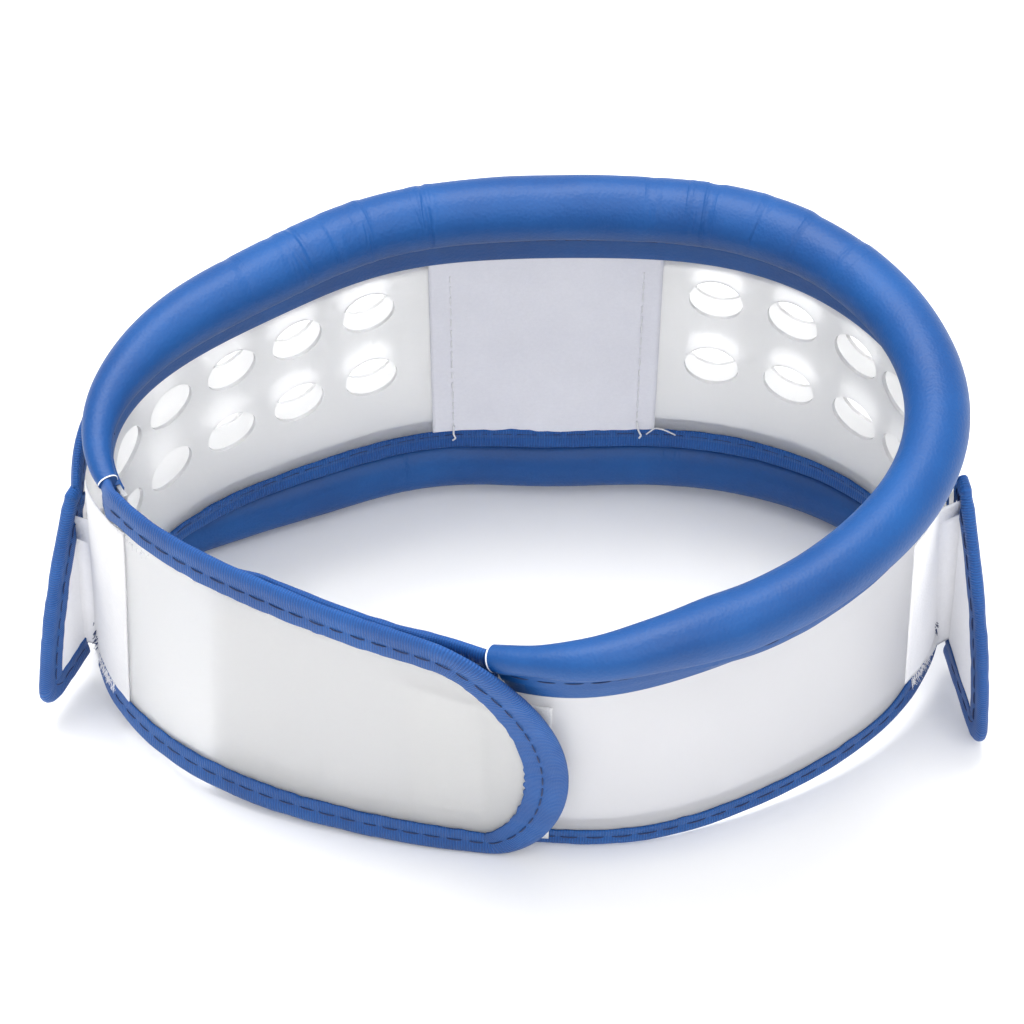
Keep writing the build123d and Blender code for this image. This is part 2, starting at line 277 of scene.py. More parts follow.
def place(obj, material, replaces=(), bend=None, body="collar"):
    """Give a piece its material, hide the CAD parts it replaces and join it to its body; given a bend, which
    is (second body, start, end) where it crosses a joint, it only keeps its shape baked in place and joins no
    body.
    """
    obj.data.materials.append(material)
    if bend:
        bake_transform(obj)
    else:
        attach(obj, body)
    if replaces:
        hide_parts(*replaces)
    return obj


# ---- materials
class Nodes:
    """Short way to write a material's node tree."""

    def __init__(self, name):
        self.material = bpy.data.materials.new(name)
        self.material.use_nodes = True
        self.tree = self.material.node_tree
        self.shader = self.tree.nodes["Principled BSDF"]

    def add(self, kind, inputs=(), **settings):
        node = self.tree.nodes.new(kind)
        for key, value in settings.items():
            setattr(node, key, value)
        for key, value in dict(inputs).items():
            self.put(node, key, value)
        return node

    def put(self, node, key, value):
        if isinstance(value, bpy.types.NodeSocket):
            self.tree.links.new(value, node.inputs[key])
        else:
            node.inputs[key].default_value = value

    def set(self, **values):
        """Put constants or links straight on the shader's own sockets."""
        for key, value in values.items():
            self.put(self.shader, key.replace("_", " "), value)

    def ramp(self, factor, stops):
        node = self.add("ShaderNodeValToRGB", {"Fac": factor})
        while len(node.color_ramp.elements) < len(stops):
            node.color_ramp.elements.new(0.5)
        for element, (spot, colour) in zip(node.color_ramp.elements, stops):
            element.position = spot
            element.color = (*colour, 1)
        return node.outputs["Color"]

    def math(self, operation, a, b):
        return self.add("ShaderNodeMath", {0: a, 1: b}, operation=operation).outputs[0]

    def texture(self, kind, scale, coordinates, **inputs):
        values = {"Vector": coordinates, "Scale": scale}
        values.update({k.replace("_", " "): v for k, v in inputs.items()})
        return self.add(kind, values)

    def bump(self, height, distance, strength=1.0, normal=None):
        inputs = {"Height": height, "Distance": distance, "Strength": strength}
        if normal is not None:
            inputs["Normal"] = normal
        return self.add("ShaderNodeBump", inputs).outputs["Normal"]

    def position(self):
        return self.add("ShaderNodeTexCoord").outputs["Object"]

    def uv(self):
        return self.add("ShaderNodeTexCoord").outputs["UV"]


def leather(name, dark, light):
    """Fine grained leatherette: small flat cells between pits, softly mottled colour."""
    m = Nodes(name)
    spot = m.position()
    cells = m.texture("ShaderNodeTexVoronoi", 1500, spot, Randomness=1.0)
    pits = m.texture("ShaderNodeTexNoise", 2600, spot, Detail=3.0, Roughness=0.6)
    slow = m.texture("ShaderNodeTexNoise", 45, spot, Detail=4.0, Roughness=0.55)
    grain = m.math("ADD", cells.outputs["Distance"], m.math("MULTIPLY", pits.outputs["Fac"], 0.7))
    mottle = m.math("ADD", m.math("MULTIPLY", slow.outputs["Fac"], 0.85), m.math("MULTIPLY", grain, 0.1))
    colour = m.ramp(mottle, [(0.3, dark), (0.72, light)])
    rough = m.add("ShaderNodeMapRange", {"Value": slow.outputs["Fac"], "To Min": 0.42, "To Max": 0.56})
    swell = m.bump(slow.outputs["Fac"], 0.0008, 0.35)
    m.set(Base_Color=colour, Roughness=rough.outputs["Result"], Normal=m.bump(grain, 0.00009, 0.55, swell))
    m.set(Specular_IOR_Level=0.36, Coat_Weight=0.03, Coat_Roughness=0.35)
    return m.material


RIB_PITCH = 0.55 * MM
TAPE_THREAD_PITCH = 0.32 * MM


def ribbed(name, dark, light):
    """Grosgrain: ribs across the tape and fine threads along it, from the mesh's own lengths."""
    m = Nodes(name)
    uv = m.uv()
    split = m.add("ShaderNodeSeparateXYZ", {"Vector": uv})
    ribs = m.math("SINE", m.math("MULTIPLY", split.outputs["X"], 2 * math.pi / RIB_PITCH), 0.0)
    threads = m.math("SINE", m.math("MULTIPLY", split.outputs["Y"], 2 * math.pi / TAPE_THREAD_PITCH), 0.0)
    slow = m.texture("ShaderNodeTexNoise", 60, m.position(), Detail=3.0)
    fuzz = m.texture("ShaderNodeTexNoise", 3500, m.position(), Detail=2.0)
    height = m.math("ADD", m.math("MULTIPLY", ribs, 0.5), m.math("MULTIPLY", threads, 0.12))
    height = m.math("ADD", height, m.math("MULTIPLY", fuzz.outputs["Fac"], 0.5))
    # The ribs' grooves are painted darker than their crests: painted shade; the slow noise is the tape's own
    # uneven tone.
    tone = m.math("ADD", m.math("MULTIPLY", ribs, 0.17), m.math("MULTIPLY", slow.outputs["Fac"], 0.9))
    m.set(Base_Color=m.ramp(tone, [(0.25, dark), (0.75, light)]), Roughness=0.62)
    m.set(Normal=m.bump(height, 0.00016, 0.9))
    m.set(Sheen_Weight=0.05, Sheen_Roughness=0.4)
    return m.material


def frosted(name, tint, clear):
    """Milky translucent sheet with a faint cloud in it and a satin face."""
    m = Nodes(name)
    spot = m.position()
    cloud = m.texture("ShaderNodeTexNoise", 30, spot, Detail=3.0, Roughness=0.5)
    fine = m.texture("ShaderNodeTexNoise", 4200, spot, Detail=2.0)
    shade = tuple(c * 0.975 for c in tint)
    m.set(Base_Color=m.ramp(cloud.outputs["Fac"], [(0.3, shade), (0.7, tint)]), Roughness=0.5)
    m.set(Normal=m.bump(fine.outputs["Fac"], 0.00003, 0.4))
    m.set(Transmission_Weight=clear, IOR=1.46, Coat_Weight=0.1, Coat_Roughness=0.3)
    return m.material


def napped(name, dark, light, scale=900, lift=0.00015):
    """Brushed white fabric: short nap over a soft mottle."""
    m = Nodes(name)
    spot = m.position()
    nap = m.texture("ShaderNodeTexNoise", scale, spot, Detail=5.0, Roughness=0.7)
    fibre = m.texture("ShaderNodeTexVoronoi", scale * 2.2, spot, Randomness=1.0)
    slow = m.texture("ShaderNodeTexNoise", 70, spot, Detail=3.0)
    height = m.math("ADD", nap.outputs["Fac"], m.math("MULTIPLY", fibre.outputs["Distance"], 0.5))
    near = m.math("MULTIPLY", nap.outputs["Fac"], 0.5)
    tone = m.math("ADD", near, m.math("MULTIPLY", slow.outputs["Fac"], 0.5))
    m.set(Base_Color=m.ramp(tone, [(0.3, dark), (0.65, light)]), Roughness=0.85)
    m.set(Normal=m.bump(height, lift, 0.6))
    m.set(Sheen_Weight=0.3, Sheen_Roughness=0.6)
    return m.material


def thread(name, colour):
    """Twisted sewing thread."""
    m = Nodes(name)
    twist = m.texture("ShaderNodeTexWave", 1800, m.position(), Distortion=2.0)
    shade = tuple(c * 0.7 for c in colour)
    m.set(Base_Color=m.ramp(twist.outputs["Fac"], [(0.2, shade), (0.8, colour)]), Roughness=0.6)
    m.set(Normal=m.bump(twist.outputs["Fac"], 0.00005, 0.5))
    return m.material


LEATHER = leather("leatherette_blue", (0.0015, 0.050, 0.205), (0.003, 0.076, 0.280))
TAPE_BLUE = ribbed("tape_blue", (0.001, 0.056, 0.245), (0.004, 0.100, 0.375))
FROSTED = frosted("frosted_sheet", (0.97, 0.97, 0.97), 0.78)
# The front sheet is a darker copy of the same frosted sheet: painted shade.
FRONT_FROSTED_SHADED = frosted("frosted_front_painted_shade", (0.77, 0.77, 0.79), 0.55)
WHITE_FABRIC = napped("fabric_white", (0.82, 0.82, 0.85), (0.88, 0.88, 0.905))
# The fold's fabric is a darker copy of the white fabric that runs on round the wings: painted shade.
FOLD_FABRIC_SHADED = napped("fabric_fold_painted_shade", (0.64, 0.64, 0.665), (0.70, 0.70, 0.72))
# The back's fabric is a darker copy of the white fabric, inside the ring: painted shade, with a faint lilac
# tint.
BACK_FABRIC_SHADED = napped("fabric_back_painted_shade", (0.66, 0.66, 0.71), (0.73, 0.73, 0.775), scale=1300, lift=0.0001)
NAVY_THREAD = thread("thread_navy", (0.012, 0.035, 0.13))
WHITE_THREAD = thread("thread_white", (0.85, 0.85, 0.87))
FOAM = napped("foam", (0.6, 0.6, 0.55), (0.75, 0.75, 0.7), scale=1400, lift=0.0003)
HOOK_LOOP = napped("hook_and_loop", (0.62, 0.62, 0.64), (0.84, 0.84, 0.84), scale=1700, lift=0.0005)

CAD_MATERIALS = {
    "sheet": FROSTED,
    "blue_leather": LEATHER,
    "blue_tape": TAPE_BLUE,
    "white_fabric": WHITE_FABRIC,
    "white_thread": WHITE_THREAD,
    "foam": FOAM,
    "hook_and_loop": HOOK_LOOP,
}
for part in frame["record"]["subparts"]:
    if part["node"] in nodes:
        mesh = nodes[part["node"]].data
        mesh.materials.clear()
        mesh.materials.append(CAD_MATERIALS[part["material_slot"]])
nodes["front_panel"].data.materials[0] = FRONT_FROSTED_SHADED


# ---- stitches
STITCH_PITCH = 5.2 * MM
STITCH_WIDTH = 0.34 * MM
STITCH_STEPS = 7
STITCH_SIDES = 6


def stitches(name, surface, route, inward, lift, material=NAVY_THREAD, pitch=STITCH_PITCH, fill=0.7,
             width=STITCH_WIDTH, stray=0.0, seed=3, bend=None):
    """Row of sewn stitches along a route in the surface's own terms, shifted inward; stray unsettles them."""
    draw = random.Random(seed)
    base = route + inward
    points = surface(base, np.full(len(base), lift))
    run = lengths(points)
    count = int(run[-1] / pitch)
    verts, faces = [], []
    steps = np.linspace(0, 1, STITCH_STEPS)
    turns = np.linspace(0, 2 * math.pi, STITCH_SIDES + 1)[:-1]
    for index in range(count):
        start = (index + 0.15 + stray * draw.uniform(-0.2, 0.2)) * pitch
        spots = start + steps * pitch * (fill + 0.1 * draw.uniform(-1, 1))
        if spots[-1] > run[-1]:
            break
        where = np.stack([np.interp(spots, run, base[:, k]) for k in (0, 1)], -1)
        tilt = stray * draw.uniform(-0.35, 0.35) * MM * (steps - 0.5)
        side = np.stack([np.interp(spots, run, inward[:, k]) for k in (0, 1)], -1)
        side /= np.maximum(np.linalg.norm(side, axis=-1, keepdims=True), 1e-9)
        where = where + side * tilt[:, None]
        rise = width * (0.5 * np.sin(np.pi * steps) ** 0.5 - 0.28)
        mid = surface(where, lift + rise)
        up = unit(surface(where, lift + rise + 0.1 * MM) - mid)
        ahead = unit(np.gradient(mid, axis=0))
        aside = np.cross(ahead, up)
        size = width / 2 * (0.55 + 0.45 * np.sin(np.pi * steps) ** 0.4)
        loop = (mid[:, None] + size[:, None, None] * (np.cos(turns)[None, :, None] * aside[:, None]
                + np.sin(turns)[None, :, None] * up[:, None] * 0.8))
        first = len(verts)
        verts.extend(loop.reshape(-1, 3))
        faces.extend(tube_faces(len(steps), len(turns), first))
        faces.extend(end_caps(len(steps), len(turns), first))
    return place(new_mesh(name, verts, faces), material, bend=bend)


def ring_surface(layer=lambda angle: 0.0):
    """Surface in terms of angle in degrees and height in metres."""
    return lambda spots, off: ring_world(spots[..., 0], spots[..., 1], layer(spots[..., 0]) + off)


BAND_SURFACE = ring_surface()
OUTER_SURFACE = ring_surface(outer_offset)


def ring_route(start, end, height, step=1.0):
    """Route round the ring as (angle, height) rows; height may be a function of the angles."""
    angles = np.linspace(start, end, max(8, int(abs(end - start) / step)))
    heights = height(angles) if callable(height) else np.full(len(angles), height)
    return np.stack([angles, heights], -1)


def rise_by(route, amount):
    """Shift for a route that goes round the ring: nothing along it, this much up."""
    return np.stack([np.zeros(len(route)), np.full(len(route), 1.0) * amount], -1)


# ---- padded rolls
TUBE_POINTS = 41
FLANGE_POINTS = 5


def roll_size(angle, span):
    """Radius of a roll's tube, which tapers to its ends over the span's third value."""
    start, end, taper = span
    ease = np.sin(np.pi / 2 * np.clip(np.minimum(angle - start, end - angle) / taper, 0, 1))
    return ROLL_END_RADIUS + (ROLL_RADIUS - ROLL_END_RADIUS) * ease


def roll_profile(size, centre, foot, top, flanges):
    """Closed outline of a roll's cover as (offset, height) rows: tube, sewn flanges, slot for the sheet."""
    neck = np.arcsin(FLANGE_FACE / size)
    turn = -np.pi / 2 + neck + np.linspace(0, 1, TUBE_POINTS) * (2 * np.pi - 2 * neck)
    tube = np.stack([size * np.cos(turn), centre + size * np.sin(turn)], -1)
    base = centre - size
    legs = []
    for side in (1, -1):
        if side in flanges:
            outer = [(FLANGE_FACE * 0.9, foot), (FLANGE_FACE, foot + 0.4 * MM),
                     (FLANGE_FACE * 1.05, foot + 2 * MM), (FLANGE_FACE * 0.9, foot + 3.8 * MM),
                     (FLANGE_FACE * 1.1, (foot + base) / 2 + 2 * MM)]
            inner = [(SHEET_FACE, foot + (0.5 * MM if base > foot else 0)), (SHEET_FACE, top)]
            leg = [(side * a, h) for a, h in outer], [(side * a, h) for a, h in inner]
        else:
            leg = [], [(side * SHEET_FACE, top)]
        legs.append(leg)
    (outside, slot_out), (inside, slot_in) = legs
    rows = outside + [tuple(p) for p in tube] + inside[::-1] + slot_in + slot_out[::-1]
    return np.array(rows)


# Share of the written depth that a crease gets, and how far its ends are pulled in, in radians
CREASE = 0.3
CREASE_TURN = 0.6
# The top roll towards its front end: lifted, slimmer, with a flange that rises and an end cut on the slant
FRONT_LIFT = 2.6 * MM
FRONT_SLIM = 1.0 * MM
FRONT_FLANGE_RISE = 5.0 * MM
FRONT_END_SLANT = 2.2
SLIM_FROM = -48
FLANGE_RISE_FROM = -42
# The top roll towards its left end: moved outward and slimmer
LEFT_END_SHIFT = 2.1 * MM
LEFT_SLIM = 0.7 * MM


def crease_depth(angles, turn, creases):
    """Depth of the short wrinkles across the roll's inner side, at (stations, around)."""
    depth = np.zeros((len(angles), len(turn)))
    for angle, width, deep, low, high, slant in creases:
        bend = angle + slant * np.sin(turn * 2.1 + angle)
        groove = np.exp(-(((angles[:, None] - bend[None]) / width) ** 2))
        reach = smooth((turn - low - CREASE_TURN) / 0.5) * smooth((high + CREASE_TURN / 2 - turn) / 0.5)
        depth += CREASE * (deep * MM) * groove * reach[None]
        swell = np.exp(-(((angles[:, None] - bend[None] - 2.4 * width) / (width * 1.6)) ** 2))
        depth -= 0.35 * CREASE * (deep * MM) * swell * reach[None]
    return depth


# Short wrinkles: angle and half width in degrees, depth in mm, first and last turn round the tube in radians,
# slant in degrees
TOP_CREASES = [
    (141.5, 0.16, 0.35, 3.0, 4.5, 0.5), (139.0, 0.2, 0.6, 2.7, 4.6, 0.8),
    (137.6, 0.14, 0.3, 3.2, 4.4, 0.4), (131.5, 0.14, 0.25, 2.9, 3.9, 0.4),
    (126.0, 0.18, 0.55, 2.9, 4.5, -0.5), (124.6, 0.14, 0.35, 3.1, 4.2, 0.4),
    (114.5, 0.16, 0.4, 2.7, 4.3, 0.6), (112.7, 0.2, 0.5, 2.5, 4.4, 0.5),
    (111.2, 0.14, 0.3, 3.0, 4.2, 0.3), (66.0, 0.15, 0.25, 3.2, 4.4, 0.4),
    (58.5, 0.15, 0.35, 3.1, 4.5, 0.4), (55.5, 0.12, 0.2, 3.3, 4.2, 0.3),
    (47.5, 0.22, 0.6, 2.8, 4.6, 0.5), (40.0, 0.13, 0.25, 3.1, 4.2, 0.4),
    (31.0, 0.14, 0.25, 3.1, 4.3, 0.4), (150.0, 0.15, 0.25, 3.1, 4.3, -0.4),
]


def flange_rise(angles):
    """How far the top roll's outer flange rises towards its front end."""
    return FRONT_FLANGE_RISE * smooth((FLANGE_RISE_FROM - angles) / 25)


def roll_stations(span, creases):
    """Angles along a roll: every half degree, and closer together at each crease."""
    start, end, _ = span
    angles = np.arange(start, end + 0.01, 0.5)
    for crease in creases:
        angles = np.append(angles, crease[0] + np.arange(-1.6, 1.61, 0.08))
    angles = np.unique(np.round(angles, 3))
    return angles[(angles >= start) & (angles <= end)]


def roll_swell(angles, turn, seed):
    """Uneven stuffing: slow waves along the roll and round its tube."""
    swell = wander(len(angles), 26, 0.13 * MM, seed)[:, None] * np.sin(turn / 2)[None]
    for wave in (1, 2):
        size = wander(len(angles), 18, 0.07 * MM, seed + wave)[:, None]
        swell = swell + size * np.sin(turn * wave + wave)[None]
    return swell


def roll_cover(name, span, centre_of, foot, top, flanges, layer, creases, seed, replaced):
    """Stuffed cover of a roll; gives back the points of its tube. Only the top roll has flanges."""
    start, end, _ = span
    angles = roll_stations(span, creases)
    lead = FLANGE_POINTS if 1 in flanges else 0
    slim = smooth((angles - TOP_ROLL[0]) / 10) * smooth((SLIM_FROM - angles) / 22) * (lead > 0)
    left_slim = smooth((angles - end + 30) / 25) * (lead > 0)
    size = roll_size(angles, span) - FRONT_SLIM * slim - LEFT_SLIM * left_slim
    rows = np.stack([roll_profile(s, centre_of(s), foot, top, flanges) for s in size])
    tube = slice(lead, lead + TUBE_POINTS)
    rows[:, tube, 1] += FRONT_LIFT * slim[:, None]
    if lead:
        rows[:, :lead, 1] += flange_rise(angles)[:, None] * np.linspace(1, 0.5, lead)[None]
    turn = np.linspace(0, 2 * np.pi, TUBE_POINTS)
    centre = np.stack([0 * size, centre_of(size) + FRONT_LIFT * slim], -1)[:, None]
    way = unit(rows[:, tube] - centre)
    fade = np.sin(turn / 2) ** 0.5
    push = (roll_swell(angles, turn, seed) - crease_depth(angles, turn, creases)) * fade[None]
    rows[:, tube] += way * push[..., None]
    if lead:
        rows[:, 0, 1] += wander(len(angles), 9, 0.16 * MM, seed + 5)
        rows[:, tube, 0] += LEFT_END_SHIFT * smooth((angles - end + 20) / 20)[:, None]
    offsets = layer(angles)[:, None] + rows[..., 0]
    turned = np.repeat(angles[:, None], rows.shape[1], 1)
    if lead:
        slant = (rows[..., 1] - centre_of(size)[:, None]) / (2 * ROLL_END_RADIUS)
        turned = turned - FRONT_END_SLANT * slant * smooth((start + 8 - angles) / 8)[:, None]
    grid = ring_world(turned, rows[..., 1], offsets)
    cover = swept(name, grid)
    place(cover, LEATHER, replaced)
    return grid[:, tube]


EDGE_SIZE = 0.17 * MM
EDGE_SIDES = 8


def raw_edge(name, loop):
    """Thin pale line of cut leatherette backing along an end of a roll."""
    ahead = unit(np.gradient(loop, axis=0))
    away = loop - loop.mean(0)
    side = unit(np.cross(ahead, away))
    points = round_section(loop, EDGE_SIZE, side, np.cross(side, ahead), EDGE_SIDES, squash=0.5)
    faces = tube_faces(len(loop), EDGE_SIDES) + end_caps(len(loop), EDGE_SIDES)
    return place(new_mesh(name, points.reshape(-1, 3), faces), WHITE_FABRIC)


def flat_layer(angles):
    """Layer of a piece that sits on the band itself."""
    return 0 * np.asarray(angles, float)


top_tube = roll_cover(
    "top_roll", TOP_ROLL, lambda s: RIM_HEIGHT - ROLL_RADIUS + s, FLANGE_FOOT, SHEET_TOP + 0.1 * MM, (1, -1),
    flat_layer, TOP_CREASES, 21, ("top_roll_cover", "top_roll_core"))
# The front end shows its whole edge, the left end only the arch over the strap's tape
raw_edge("top_roll_front_edge", top_tube[0, 1:-1])
raw_edge("top_roll_left_edge", top_tube[-1, 9:34])

LOWER_CREASES = [(60.0, 0.2, 0.15, 2.6, 4.4, 0.5), (118.0, 0.2, 0.18, 2.6, 4.4, 0.5)]
roll_cover(
    "lower_roll", LOWER_ROLL, lambda s: LOWER_ROLL_HEIGHT + ROLL_RADIUS - s, OUTER_FOOT + 7 * MM,
    OUTER_FOOT - 0.05 * MM, (), outer_offset, LOWER_CREASES, 41, ("lower_roll_cover", "lower_roll_core"))

OUTER_SEAM_HEIGHT = 62.3 * MM
INNER_SEAM_HEIGHT = 65.6 * MM
# A row of stitches needs a way inward, so one that isn't shifted gets a hair
HAIR = 0.01 * MM

flange_out = ring_route(TOP_ROLL[0] + 3, TOP_ROLL[1] - 3, lambda a: OUTER_SEAM_HEIGHT + flange_rise(a))
stitches("top_flange_stitches_outside", BAND_SURFACE, flange_out, rise_by(flange_out, HAIR), FLANGE_FACE)
flange_in = ring_route(TOP_ROLL[0] + 8, TOP_ROLL[1] - 6, INNER_SEAM_HEIGHT)
stitches("top_flange_stitches_inside", BAND_SURFACE, flange_in, rise_by(flange_in, HAIR),
         -FLANGE_FACE * 1.1, seed=5)


# ---- bindings
SEAM_SHARE = 0.55
SEAM_INSET = 4.6 * MM


def lap_profile(reach, sign, skin):
    """One lap of a tape as (reach, lift) rows from its raw edge to the fold, dented at its seam."""
    seam = SEAM_SHARE
    shares = ((1.0, 0.16), (0.96, 0.02), (0.8, 0.0), (seam + 0.08, 0.04), (seam, 0.2), (seam - 0.1, 0.02),
              (seam * 0.6, -0.16), (seam * 0.3, -0.2), (0.08, -0.1))
    return [(reach * share, sign * (skin - drop * MM)) for share, drop in shares]


def binding(name, surface, route, inward, lap=TAPE_LAP, back_lap=None, replaced=(), seed=7, bend=None,
            back_scale=1.0, front_scale=1.0, sleeve=0.0):
    """Ribbed tape folded over an edge: route is the sheet's edge, inward the way onto the sheet."""
    back_lap = lap if back_lap is None else back_lap
    face, skin = SHEET_FACE, SHEET_FACE + TAPE + sleeve
    count = len(route)
    ragged = wander(count, 3, 0.12 * MM, seed)
    ragged_back = wander(count, 3, 0.12 * MM, seed + 1)
    front, back = lap_profile(lap, 1, skin), lap_profile(back_lap, -1, skin)
    fold = [(-0.3 * MM, 0.62 * skin), (-0.5 * MM, 0.25 * skin)]
    fold += [(a, -b) for a, b in fold[::-1]]
    under = [(back_lap, -face), (0.3 * MM, -face), (0.02 * MM, 0.0), (0.3 * MM, face), (lap, face)]
    rows = front + fold + back[::-1] + under
    reach = np.array([r[0] for r in rows])
    lift = np.array([r[1] for r in rows])
    reaches = np.repeat(reach[None], count, 0)
    behind = (lift < 0) & (reach > 0)
    ahead = (lift > 0) & (reach > 0)
    reaches[:, behind] *= np.broadcast_to(back_scale, count)[:, None]
    reaches[:, ahead] *= np.broadcast_to(front_scale, count)[:, None]
    front_end, back_start = 0, len(front) + len(fold) + len(back) - 1
    reaches[:, [front_end, len(rows) - 1]] += ragged[:, None]
    reaches[:, [back_start, back_start + 1]] += ragged_back[:, None]
    spots = route[:, None] + inward[:, None] * reaches[..., None]
    puff = wander(count, 5, 0.05 * MM, seed + 2)[:, None] * np.sign(lift)[None]
    puff = puff * (np.abs(lift) > face * 1.2)[None]
    grid = surface(spots, np.repeat(lift[None], count, 0) + puff)
    return place(swept(name, grid), TAPE_BLUE, replaced, bend)


def ring_binding(name, span, edge, side, layer_surface, back_lap=None, replaced=(), seed=7, back_scale=None,
                 front_scale=None):
    route = ring_route(*span, edge, 0.7)
    inward = rise_by(route, side)
    scale = back_scale(route[:, 0]) if back_scale else 1.0
    ahead = front_scale(route[:, 0]) if front_scale else 1.0
    binding(name, layer_surface, route, inward, back_lap=back_lap, replaced=replaced, seed=seed,
            back_scale=scale, front_scale=ahead)
    return route, inward


FRONT_INNER_LAP = 9.4 * MM
FRONT_OUTER_LAP = 5.6 * MM


def front_lap(angles):
    """Longer inner lap at the front, easing to the back's."""
    share = smooth((-8 - angles) / 8)
    return 1 + (FRONT_INNER_LAP / INNER_TAPE_LAP - 1) * share


def front_outer_lap(angles):
    """Shorter outer lap at the front, easing to the back's."""
    share = smooth((-8 - angles) / 8)
    return 1 + (FRONT_OUTER_LAP / TAPE_LAP - 1) * share


route, inward = ring_binding("band_bottom_tape", (-154.6, 190.0), 0.0, 1, BAND_SURFACE, INNER_TAPE_LAP,
                             ("bottom_tape",), 9, front_lap, front_outer_lap)
stitches("bottom_tape_stitches_outside", BAND_SURFACE, route,
         inward * SEAM_INSET * front_outer_lap(route[:, :1]), SHEET_FACE + TAPE)
stitches("bottom_tape_stitches_inside", BAND_SURFACE, route, inward * 4.3 * MM, -(SHEET_FACE + TAPE),
         seed=8)


def front_edge(angles):
    """The front sheet's taped edge, which rises into the roll's end in two steps."""
    corner, lead = smooth((angles + 154) / 8), smooth((angles + 122) / 20)
    return SHEET_TOP + 2.4 * MM * corner + 1.9 * MM * lead


route, inward = ring_binding("front_edge_tape", (-154.6, -97.0), front_edge, -1, BAND_SURFACE, None,
                             ("inner_end_tape",), 12)
stitches("front_edge_tape_stitches", BAND_SURFACE, route, inward * SEAM_INSET, SHEET_FACE + TAPE, seed=9)

# Second sheet's upper binding, which slopes down towards both wings
SLOPE_DROP = OUTER_TOP - WING_TOP
SLOPE_RADIUS = (SLOPE_START ** 2 + SLOPE_DROP ** 2) / (2 * SLOPE_DROP)


def past_slope(angles):
    """How far towards the front the second sheet has gone since its upper edge began to slope."""
    depth = ring(angles, OUTER_TOP, outer_offset(angles))[0][..., 1]
    return np.clip(SLOPE_START - depth, 0, SLOPE_START)


def outer_edge(angles):
    """Height of the second sheet's upper edge."""
    past = past_slope(angles)
    return OUTER_TOP - (SLOPE_RADIUS - np.sqrt(SLOPE_RADIUS ** 2 - past ** 2))


def outer_lean(angles):
    """Height that a tape laid square to the sloping edge takes up, per unit of its width."""
    return 1 / np.cos(np.arcsin(past_slope(angles) / SLOPE_RADIUS))


route = ring_route(*OUTER_SPAN, outer_edge, 0.7)
inward = np.stack([np.zeros(len(route)), -outer_lean(route[:, 0])], -1)
binding("second_sheet_top_tape", OUTER_SURFACE, route, inward, replaced=("outer_top_tape",), seed=15)
for face_side, label in ((1, "outside"), (-1, "inside")):
    stitches(f"second_sheet_stitches_{label}", OUTER_SURFACE, route, inward * SEAM_INSET,
             face_side * (SHEET_FACE + TAPE), seed=10)

# ---- strap
# The tab's tip, the height where its two curves meet, and how far back each curve starts
TAB_TIP = 6.6 * MM
TAB_TURN = 32.0 * MM
TAB_UPPER = 26.0 * MM
TAB_LOWER = 16.0 * MM
STRAP_GRID = np.linspace(183.0, 292.0, 219)
# The tape past the strap's root: up into the roll's end, and down to the notch
LEAD_START = 185.8
TAIL_END = 183.6
LEAD_DROP = 4.0 * MM
LEAD_TUCK = 1.7 * MM
STRAP_LOW = ring(STRAP_GRID, 0.0, STRAP_OFFSET)[0][:, 0]
STRAP_HIGH = ring(STRAP_GRID, RIM_HEIGHT, STRAP_OFFSET)[0][:, 0]


def strap_angle(across, height):
    """Angle round the ring of a spot on the strap that is given by its distance across."""
    shape = np.broadcast(across, height).shape
    across, height = np.broadcast_to(across, shape).ravel(), np.broadcast_to(height, shape).ravel()
    share = height / RIM_HEIGHT
    found = [np.interp(x, STRAP_LOW * (1 - t) + STRAP_HIGH * t, STRAP_GRID) for x, t in zip(across, share)]
    return np.array(found).reshape(shape)


def strap_surface(spots, off):
    """Surface in terms of distance across and height, tucked inward where the tape enters the roll."""
    angles = strap_angle(spots[..., 0], spots[..., 1])
    tuck = smooth((190.5 - angles) / 4.5) * smooth((spots[..., 1] - 50 * MM) / (14 * MM))
    return ring_world(angles, spots[..., 1], STRAP_OFFSET - LEAD_TUCK * tuck + off)


def tab_route():
    """Strap's edge from its upper root round the tab to its lower root, in across and height."""
    root_high = ring(STRAP_ROOT + 0.02, RIM_HEIGHT, STRAP_OFFSET)[0][0]
    root_low = ring(STRAP_ROOT + 0.02, 0.0, STRAP_OFFSET)[0][0]
    turn = np.linspace(np.pi / 2, 0, 40)
    high = np.stack([TAB_TIP - TAB_UPPER + TAB_UPPER * np.cos(turn),
                     TAB_TURN + (RIM_HEIGHT - TAB_TURN) * np.sin(turn)], -1)
    low = np.stack([TAB_TIP - TAB_LOWER + TAB_LOWER * np.cos(-turn[::-1]),
                    TAB_TURN + TAB_TURN * np.sin(-turn[::-1])], -1)
    lead = np.linspace(root_high, TAB_TIP - TAB_UPPER, 90)[:-1]
    tail = np.linspace(TAB_TIP - TAB_LOWER, root_low, 90)[1:]
    upper = np.stack([lead, np.full(len(lead), RIM_HEIGHT)], -1)
    lower = np.stack([tail, np.zeros(len(tail))], -1)
    before = np.linspace(LEAD_START, STRAP_ROOT - 0.3, 12)
    fall = RIM_HEIGHT - LEAD_DROP * (1 - smooth((before - LEAD_START) / (STRAP_ROOT - LEAD_START)))
    after = np.linspace(STRAP_ROOT - 0.3, TAIL_END, 16)
    into_roll = np.stack([np.interp(before, STRAP_GRID, STRAP_HIGH), fall], -1)
    to_notch = np.stack([np.interp(after, STRAP_GRID, STRAP_LOW), 0 * after], -1)
    path = np.concatenate([into_roll, upper, high, low[1:], lower, to_notch])
    return spaced(path, 420)


def to_the_right(route):
    """Unit vectors to the right of a route's direction."""
    ahead = unit(np.gradient(route, axis=0))
    return np.stack([ahead[:, 1], -ahead[:, 0]], -1)


